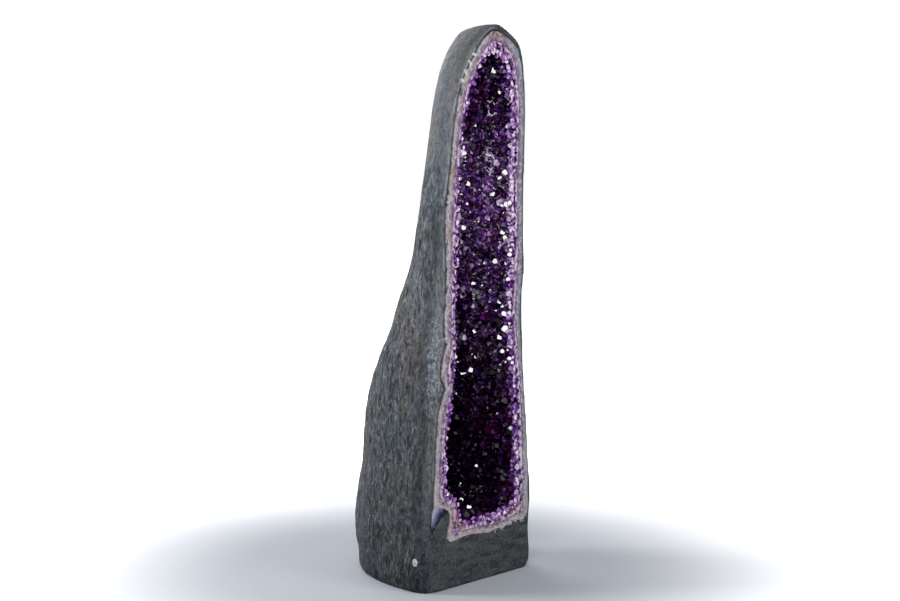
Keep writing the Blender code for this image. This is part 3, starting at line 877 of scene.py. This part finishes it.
@dataclass
class CrystalGarden:
    """The crystals that cover the bed, larger ones first and smaller ones between them."""

    bed: bpy.types.Object
    seed: int = 11
    shapes: int = 9
    facet_slope: float = 51.8
    overlap: float = 0.70
    grid: float = 16 * MM
    rim_depth: float = 14 * MM
    least_growth: float = 2.5 * MM
    pale_depth: float = 21 * MM
    pale_sway: float = 14 * MM
    glow_level: float = 0.68
    glow_spread: float = 0.16
    tilt: float = 24.0
    darts: dict[Grade, int] = field(
        default_factory=lambda: {Grade.RIM: 3000, Grade.LARGE: 1100, Grade.MEDIUM: 18000, Grade.SMALL: 50000}
    )
    radii: dict[Grade, tuple[float, float]] = field(
        default_factory=lambda: {
            Grade.RIM: (2.8 * MM, 5.6 * MM),
            Grade.LARGE: (6.8 * MM, 9.5 * MM),
            Grade.MEDIUM: (4.2 * MM, 6.4 * MM),
            Grade.SMALL: (2.3 * MM, 3.6 * MM),
        }
    )
    zones: tuple[tuple[str, float, float], ...] = (
        ("crystals_lower", 0.0, 0.33),
        ("crystals_middle", 0.33, 0.62),
        ("crystals_upper", 0.62, 2.0),
    )

    def __post_init__(self) -> None:
        """Seeds the draws and grows the shapes that are copied."""
        self.random = np.random.default_rng(self.seed)
        self.material = CrystalFinish().material()
        # The second finish is a darker copy with almost no reflection: painted shade.
        self.shaded_material = CrystalFinish("amethyst_shaded", 0.03, 0.12, base_shade=0.16, cloud=0.16).material()
        self.prototypes = [self.cut_prototype() for _ in range(self.shapes)]

    def cut_prototype(self) -> Prototype:
        """Cuts a six-sided prism to a point with six sloping planes.

        Returns:
            The shape's points and faces.
        """
        deselect_all()
        bpy.ops.mesh.primitive_cylinder_add(vertices=6, radius=1, depth=8, location=(0, 0, 0))
        blank = bpy.context.active_object
        slope = math.radians(self.facet_slope)
        drops = self.random.uniform(0.30, 0.75, 6) * np.tile((1.0, 0.12), 3)
        bpy.ops.object.mode_set(mode="EDIT")
        for side in range(6):
            turn = math.radians(60 * side)
            outward = math.sin(slope)
            facing = Vector((math.cos(turn) * outward, math.sin(turn) * outward, math.cos(slope)))
            bpy.ops.mesh.select_all(action="SELECT")
            bpy.ops.mesh.bisect(
                plane_co=(0, 0, 2 - drops[side]), plane_no=facing, use_fill=True, clear_outer=True
            )
        bpy.ops.object.mode_set(mode="OBJECT")
        points = points_of(blank.data)
        points[:, 2] -= points[:, 2].max()
        low = points[:, 2] < -3
        points[low, 2] = -3
        faces = [tuple(face.vertices) for face in blank.data.polygons]
        bpy.data.objects.remove(blank)
        return Prototype(points, faces, points[:, 2] / 3 + 1)

    def surface(self) -> tuple[np.ndarray, np.ndarray, np.ndarray]:
        """Reads the side of the bed that crystals grow on.

        Returns:
            Its triangles' corners, their corner normals, and their areas.
        """
        mesh = self.bed.data
        mesh.calc_loop_triangles()
        corners = np.array([triangle.vertices[:] for triangle in mesh.loop_triangles])
        points, normals = points_of(mesh), normals_of(mesh)
        agate = distances(points, "agate_band")
        first, second, third = (points[corners[:, corner]] for corner in range(3))
        flat = np.cross(second - first, third - first)
        area = np.linalg.norm(flat, axis=1) / 2
        facing = flat / np.maximum(area[:, None] * 2, 1e-12)
        grows = (agate[corners].min(axis=1) > self.least_growth) & (facing[:, 1] > -0.9995)
        keep = corners[grows]
        return points[keep], normals[keep], area[grows]

    def seats(self) -> list[Seat]:
        """Throws darts at the bed, and keeps each that is clear of those before it.

        Returns:
            The seats, larger crystals first.
        """
        corners, normals, area = self.surface()
        share = area / area.sum()
        taken: dict[tuple[int, int, int], list[Seat]] = {}
        kept: list[Seat] = []
        for grade in Grade:
            count = self.darts[grade]
            weight = share
            if grade is Grade.RIM:
                weight = share * (corners[:, :, 1].max(axis=1) < FACE_Y + self.rim_depth)
                weight = weight / weight.sum()
            picks = self.random.choice(len(area), count, p=weight)
            first, second = self.random.random(count), self.random.random(count)
            over = first + second > 1
            first[over], second[over] = 1 - first[over], 1 - second[over]
            weights = np.stack([1 - first - second, first, second], axis=1)
            spots = (corners[picks] * weights[:, :, None]).sum(axis=1)
            facing = (normals[picks] * weights[:, :, None]).sum(axis=1)
            sizes = np.sort(self.random.uniform(*self.radii[grade], count))[::-1]
            for spot, normal, radius in zip(spots, facing, sizes):
                seat = Seat(Vector(spot), Vector(normal).normalized(), float(radius), grade)
                if self.is_clear(seat, taken):
                    kept.append(seat)
        return kept

    def is_clear(self, seat: Seat, taken: dict[tuple[int, int, int], list[Seat]]) -> bool:
        """Tells whether a seat is clear of its neighbours, and books its place if it is."""
        cell = tuple(int(math.floor(axis / self.grid)) for axis in seat.at)
        for step in np.ndindex(3, 3, 3):
            for other in taken.get(tuple(cell[axis] + step[axis] - 1 for axis in range(3)), ()):
                if (seat.at - other.at).length < self.overlap * (seat.radius + other.radius):
                    return False
        taken.setdefault(cell, []).append(seat)
        return True

    def shade_of(self, seat: Seat) -> float:
        """Returns a crystal's shade: lighter near the cut, more so on the right and low down, with painted
        light brightest at mid height and painted shade dark in the depths and under the crown.
        """
        inward = seat.at.y - FACE_Y
        level = seat.at.z
        near = max(0.0, 1 - inward / (self.pale_depth + self.pale_sway * noise.noise(seat.at * 45)))
        # Painted light: brightest at mid height of the hollow.
        glow = math.exp(-(((seat.at.z - self.glow_level) / self.glow_spread) ** 2))
        low = 1 - ease_one(level, 0.28, 0.50)
        # Painted shade: dark deep in the lower hollow.
        deep = low * ease_one(inward, 14 * MM, 60 * MM)
        facing = 0.28 * near * (seat.at.x > 0)
        foot = 0.18 * near * ease_one(level, 0.30, 0.22)
        # Painted shade: darker under the crown, away from the cut.
        crown = 0.10 * (1 - near) * ease_one(level, 0.78, 0.86)
        own = 0.46 * near + facing + foot - crown + 0.14 * glow - 0.22 * deep
        return own + float(self.random.normal(0, 0.10 + 0.10 * near))

    def grow(self, name: str, seats: Sequence[Seat]) -> None:
        """Grows one piece of crystals.

        Args:
            name: The piece's name.
            seats: Where its crystals stand.
        """
        all_points: list[np.ndarray] = []
        all_faces: list[tuple[int, ...]] = []
        shades: list[float] = []
        heights: list[np.ndarray] = []
        finishes: list[int] = []
        count = 0
        for seat in seats:
            shape = self.prototypes[int(self.random.integers(self.shapes))]
            points = self.stand(shape, seat)
            own = self.shade_of(seat)
            all_points.append(points)
            heights.append(shape.height)
            all_faces += [tuple(corner + count for corner in face) for face in shape.faces]
            bright = self.random.random(len(shape.faces))
            level = seat.at.z
            calm = 1 - 0.6 * ease_one(level, 0.76, 0.86)
            lit = 0.6 * calm * (bright > 0.90) * self.random.random(len(shape.faces))
            shades += list(own - 0.31 + 0.50 * bright + lit * ease_one(level, 0.25, 0.5))
            # Faces outside the glossy share take the darker copy as painted shade, mostly low and under the
            # crown.
            glassy = 0.12 + 0.88 * ease_one(level, 0.20, 0.58)
            glassy *= 1 - 0.55 * ease_one(level, 0.77, 0.85)
            finishes += [int(self.random.random() > glassy)] * len(shape.faces)
            count += len(points)
        piece = new_piece(name, all_points, all_faces)
        store(piece.data, "shade", np.array(shades), "FACE")
        store(piece.data, "height", np.concatenate(heights))
        piece.data.materials.append(self.material)
        piece.data.materials.append(self.shaded_material)
        piece.data.polygons.foreach_set("material_index", finishes)
        place(piece)

    def stand(self, shape: Prototype, seat: Seat) -> np.ndarray:
        """Stands one crystal on its seat, leaning a little.

        Args:
            shape: The crystal's shape.
            seat: Where it stands.

        Returns:
            Its points in place.
        """
        lean = Vector(self.random.normal(0, math.tan(math.radians(self.tilt)) / 2, 3))
        normal = seat.normal
        rise = self.random.uniform(0.95, 1.65)
        if seat.grade is Grade.RIM:
            normal = Vector((normal.x, 0.25 * normal.y, normal.z)).normalized()
            rise = self.random.uniform(1.2, 2.4)
        axis = (normal + lean).normalized()
        turn = axis.to_track_quat("Z", "Y").to_matrix()
        angle = self.random.uniform(0, math.tau)
        c, s = math.cos(angle), math.sin(angle)
        spin = np.array([[c, -s, 0], [s, c, 0], [0, 0, 1]])
        stretch = self.random.uniform(0.85, 1.15, 2)
        local = shape.points * (seat.radius * stretch[0], seat.radius * stretch[1], seat.radius)
        local[:, 2] += seat.radius * rise
        points = local @ spin.T @ np.array(turn).T + np.array(seat.at)
        points[:, 1] = np.maximum(points[:, 1], FACE_Y + 0.05 * MM)
        return points

    def build(self) -> None:
        """Grows every zone, and dresses the large crystals that the frame holds."""
        seats = self.seats()
        log.info("%d crystals", len(seats))
        for name, low, high in self.zones:
            self.grow(name, [seat for seat in seats if low <= seat.at.z < high])
        for name in POINTS:
            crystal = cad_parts[name]
            crystal.data.materials.clear()
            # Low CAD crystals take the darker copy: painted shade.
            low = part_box(name)[1].z < self.zones[0][2]
            crystal.data.materials.append(self.shaded_material if low else self.material)


@dataclass(frozen=True)
class CrumbRun:
    """A run of quartz crumbs along the band's outer edge, between two limits across and two in height."""

    count: int
    least: float
    most: float
    scatter: float
    across: tuple[float, float]
    level: tuple[float, float]


@dataclass
class Accents:
    """The small minerals: the chalcedony lens, the quartz spot and the quartz crumbs along the rim."""

    rock: bpy.types.Object
    seed: int = 5
    spot_steps: int = 3
    spot_lump: float = 0.7 * MM
    crumb_runs: tuple[CrumbRun, ...] = (
        CrumbRun(150, 0.6 * MM, 1.5 * MM, 2.8 * MM, (0.02, 0.120), (0.08, 0.165)),
        CrumbRun(60, 1.2 * MM, 2.6 * MM, 2.2 * MM, (-0.10, 0.0), (0.88, 0.955)),
        CrumbRun(24, 0.7 * MM, 1.5 * MM, 2.0 * MM, (-0.10, 0.0), (0.36, 0.50)),
        CrumbRun(3, 1.6 * MM, 2.4 * MM, 0.6 * MM, (-0.115, -0.090), (0.108, 0.116)),
    )

    def __post_init__(self) -> None:
        """Makes the quartz that the spot and the crumbs share."""
        self.quartz = QuartzFinish().material()

    def build(self) -> None:
        """Builds and dresses the small minerals."""
        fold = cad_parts["chalcedony_fold"]
        fold.data.materials.clear()
        fold.data.materials.append(ChalcedonyFinish().material())
        self.build_spot()
        self.build_crumbs()

    def build_crumbs(self) -> None:
        """Builds the quartz crumbs that sit where the rock meets the agate."""
        random = np.random.default_rng(self.seed)
        deselect_all()
        bpy.ops.mesh.primitive_ico_sphere_add(subdivisions=1, radius=1, location=(0, 0, 0))
        blank = bpy.context.active_object
        bpy.ops.object.mode_set(mode="EDIT")
        bpy.ops.mesh.select_all(action="SELECT")
        bpy.ops.transform.vertex_random(offset=0.45, seed=self.seed)
        bpy.ops.object.mode_set(mode="OBJECT")
        shape, faces = points_of(blank.data), [tuple(face.vertices) for face in blank.data.polygons]
        bpy.data.objects.remove(blank)
        all_points: list[np.ndarray] = []
        all_faces: list[tuple[int, ...]] = []
        for seat, radius in self.crumb_seats(random):
            turn = Vector(random.normal(0, 1, 3)).to_track_quat("Z", "Y").to_matrix()
            size = radius * random.uniform(0.7, 1.3, 3)
            count = len(all_points) * len(shape)
            all_points.append(shape * size @ np.array(turn).T + seat)
            all_faces += [tuple(corner + count for corner in face) for face in faces]
        crumbs = new_piece("quartz_crumbs", all_points, all_faces)
        crumbs.data.materials.append(self.quartz)
        place(crumbs)

    def crumb_seats(self, random: np.random.Generator) -> list[tuple[np.ndarray, float]]:
        """Picks the crumbs' places along the band's outer edge, on the skin of the rock or the band.

        Args:
            random: The seeded draws.

        Returns:
            Each crumb's place and radius.
        """
        band = points_of(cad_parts["agate_band"].data)
        skins = [skin_tree(self.rock), skin_tree(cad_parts["agate_band"])]
        front = band[band[:, 1] < FACE_Y + 0.3 * MM]
        outer = front[distances(front, "basalt_shell", 20 * MM) < 0.5 * MM]
        seats: list[tuple[np.ndarray, float]] = []
        for run in self.crumb_runs:
            inside = (outer[:, 0] > run.across[0]) & (outer[:, 0] < run.across[1])
            inside &= (outer[:, 2] > run.level[0]) & (outer[:, 2] < run.level[1])
            spots = outer[inside]
            log.info("crumb run: %d edge points", len(spots))
            for _ in range(run.count if len(spots) > 2 else 0):
                first = spots[int(random.integers(len(spots)))]
                gaps = np.linalg.norm(spots - first, axis=1)
                second = spots[np.argsort(gaps)[int(random.integers(1, 3))]]
                spot = first + (second - first) * random.random() + random.normal(0, run.scatter, 3)
                start = Vector((spot[0], FACE_Y - 50 * MM, spot[2]))
                hits = [skin.ray_cast(start, Vector((0, 1, 0)), 75 * MM) for skin in skins]
                found = [hit for hit in hits if hit[0] is not None]
                if found:
                    nearest = min(found, key=lambda hit: hit[3])
                    seats.append((np.array(nearest[0]), float(random.uniform(run.least, run.most))))
        return seats

    def build_spot(self) -> None:
        """Builds the quartz spot, which stands for the amygdale, with a lumpy skin."""
        spot = copy_node("quartz_amygdale", "quartz_spot")
        split_edges(spot, self.spot_steps)
        points, normals = points_of(spot.data), normals_of(spot.data)
        for index, point in enumerate(points):
            points[index] += normals[index] * noise.fractal(Vector(point) * 380, 1.0, 2.0, 2) * self.spot_lump
        move_points(spot.data, points)
        spot.data.materials.append(self.quartz)
        place(spot, ["quartz_amygdale"])


@dataclass
class Studio:
    """The floor, the lights and the camera."""

    camera_at: tuple[float, float, float] = (-2.0194, -1.8994, 0.704)
    look: tuple[float, float, float] = (0.73807, 0.67074, -0.07324)
    lens: float = 60
    floor_size: float = 60
    fill_front: float = 0.10
    fill_back: float = 0.75
    fill_colour: Colour = (0.92, 0.96, 1.0, 1.0)
    gloss_fill: float = 0.10
    windows: tuple[tuple[str, tuple[float, float, float]], ...] = (
        ("window_left", (-2.2, -2.0, 0.95)),
        ("window_high", (-0.6, -1.1, 2.5)),
    )
    mat_near: Colour = srgb(176, 180, 188)
    mat_weave: Colour = srgb(120, 125, 135)
    mat_far: Colour = srgb(250, 250, 250)

    def build(self) -> None:
        """Sets the stage."""
        self.lay_floor()
        self.hang_lights()
        self.light_room()
        self.stand_camera()

    def lay_floor(self) -> None:
        """Lays a pale floor, greyer near the object and white further off."""
        deselect_all()
        bpy.ops.mesh.primitive_circle_add(vertices=64, radius=self.floor_size / 2, fill_type="NGON")
        floor = bpy.context.active_object
        floor.name = "floor"
        w = Wiring(bpy.data.materials.new("floor"))
        away = w.node("VectorMath", {0: w.place(0)}, "Value", operation="LENGTH")
        fade = w.span(away, 0.30, 1.10)
        weave = w.noise(w.place(), 300, 3, 0.8)
        near = w.mix(w.span(weave, 0.35, 0.65, 0.25, 0), self.mat_near, self.mat_weave)
        colour = w.mix(fade, near, self.mat_far)
        glossy = w.node("LightPath", {}, "Is Glossy Ray")
        colour = w.mix(w.times(glossy, 1 - self.gloss_fill), colour, BLACK)
        glow = w.times(fade, w.node("LightPath", {}, "Is Camera Ray"), 0.9)
        dress = w.finish(colour, 0.8, Emission_Color=WHITE, Emission_Strength=glow)
        floor.data.materials.append(dress)

    def hang_lights(self) -> None:
        """Hangs the softboxes."""
        self.softbox("key", (-1.75, -1.35, 2.05), (0, 0, 0.55), 0.9, 27)
        self.softbox("front", (0.25, -2.2, 1.45), (0, 0, 0.5), 0.8, 20)
        self.softbox("side", (-1.5, 1.5, 2.1), (0, 0, 0.45), 0.6, 42)
        self.softbox("back", (0.9, 2.2, 1.9), (0, 0, 0.5), 1.6, 26)
        for name, at in self.windows:
            self.softbox(name, at, (0, 0, 0.55), 1.3, 60).visible_diffuse = False

    def softbox(
        self, name: str, at: Sequence[float], aim: Sequence[float], size: float, power: float
    ) -> bpy.types.Object:
        """Hangs one square softbox.

        Args:
            name: The lamp's name.
            at: Where it hangs.
            aim: The point that it faces.
            size: Its side.
            power: Its power in watts.

        Returns:
            The lamp.
        """
        data = bpy.data.lights.new(name, "AREA")
        data.shape = "SQUARE"
        data.size = size
        data.energy = power
        lamp = bpy.data.objects.new(name, data)
        bpy.context.scene.collection.objects.link(lamp)
        lamp.location = at
        lamp.rotation_euler = (Vector(aim) - Vector(at)).to_track_quat("-Z", "Y").to_euler()
        return lamp

    def light_room(self) -> None:
        """Gives the room its white background and soft fill."""
        world = bpy.data.worlds.new("studio")
        bpy.context.scene.world = world
        w = Wiring(world)
        aim = {0: w.node("TexCoord", {}, "Generated"), 1: self.look}
        ahead = w.node("VectorMath", aim, "Value", operation="DOT_PRODUCT")
        spread = w.straight(ahead, -0.7, 0.6, self.fill_front, self.fill_back)
        glossy = w.node("LightPath", {}, "Is Glossy Ray")
        dim = w.straight(glossy, 0, 1, 1, self.gloss_fill)
        fill = w.node("Background", {"Color": self.fill_colour, "Strength": w.times(spread, dim)}, 0)
        white = w.node("Background", {"Color": WHITE, "Strength": 1.0}, 0)
        seen = w.node("LightPath", {}, "Is Camera Ray")
        blend = w.node("MixShader", {0: seen, 1: fill, 2: white}, 0)
        w.feed(w.tree.nodes["World Output"].inputs["Surface"], blend)
        bpy.context.scene.view_settings.view_transform = "Standard"

    def stand_camera(self) -> None:
        """Stands the camera at the front left, a little above mid height."""
        data = bpy.data.cameras.new("camera")
        data.lens = self.lens
        data.sensor_width = 36
        camera = bpy.data.objects.new("camera", data)
        bpy.context.scene.collection.objects.link(camera)
        camera.location = self.camera_at
        camera.rotation_euler = Vector(self.look).to_track_quat("-Z", "Y").to_euler()
        bpy.context.scene.camera = camera


def main() -> None:
    """Builds the geode's looks in order."""
    logging.basicConfig(level=logging.INFO, format="%(name)s %(message)s")
    deselect_all()
    Studio().build()
    rock = Rock().build()
    lining = Lining()
    lining.build_agate()
    bed = lining.build_bed()
    CrystalGarden(bed).build()
    Accents(rock).build()


if __name__ == "__main__":
    main()
